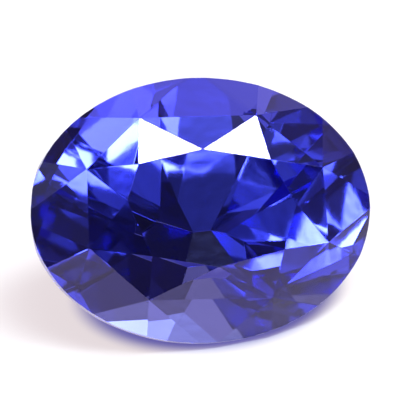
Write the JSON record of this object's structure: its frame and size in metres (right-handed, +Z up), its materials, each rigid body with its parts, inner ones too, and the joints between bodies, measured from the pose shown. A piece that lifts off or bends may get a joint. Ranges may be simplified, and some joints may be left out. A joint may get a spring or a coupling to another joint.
{
  "type": "oval cut blue sapphire",
  "caption": "Loose oval faceted blue sapphire with a brilliant crown and pavilion, lying on one pavilion facet.",
  "frame": {"origin": "on the ground under the middle of the stone, as it lies on its resting facet", "axes": "+X along the stone's length, +Z up, the table facing -Y and up"},
  "size_m": [0.01, 0.0056, 0.0062],
  "materials": {
    "sapphire": "polished transparent blue crystal with a satin girdle"
  },
  "bodies": {
    "root": {"sapphire": "sapphire"}
  },
  "joints": []
}
